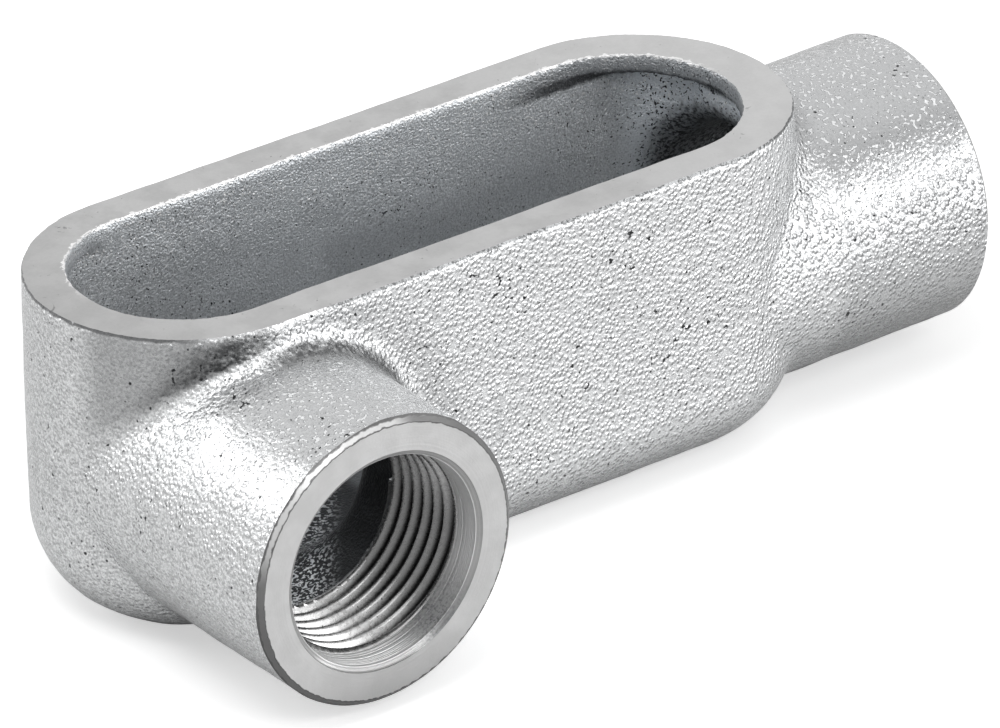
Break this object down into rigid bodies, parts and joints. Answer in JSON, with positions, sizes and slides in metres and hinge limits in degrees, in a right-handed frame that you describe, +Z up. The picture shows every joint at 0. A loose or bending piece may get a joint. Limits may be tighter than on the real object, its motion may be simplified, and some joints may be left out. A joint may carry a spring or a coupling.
{
  "type": "conduit body",
  "caption": "Open cast conduit body with a long round-ended cover opening, a threaded hub on one end and a threaded hub on one side.",
  "frame": {"origin": "centre of the flat bottom, midway between the centres of the body's round ends", "axes": "+X along the body to the end hub, +Z up to the cover rim, side hub along -Y"},
  "size_m": [0.1201, 0.056, 0.0402],
  "materials": {
    "casting": "zinc plated, rough as cast, with turned hub faces and a ground rim"
  },
  "bodies": {
    "root": {"conduit_body": "casting"}
  },
  "joints": []
}
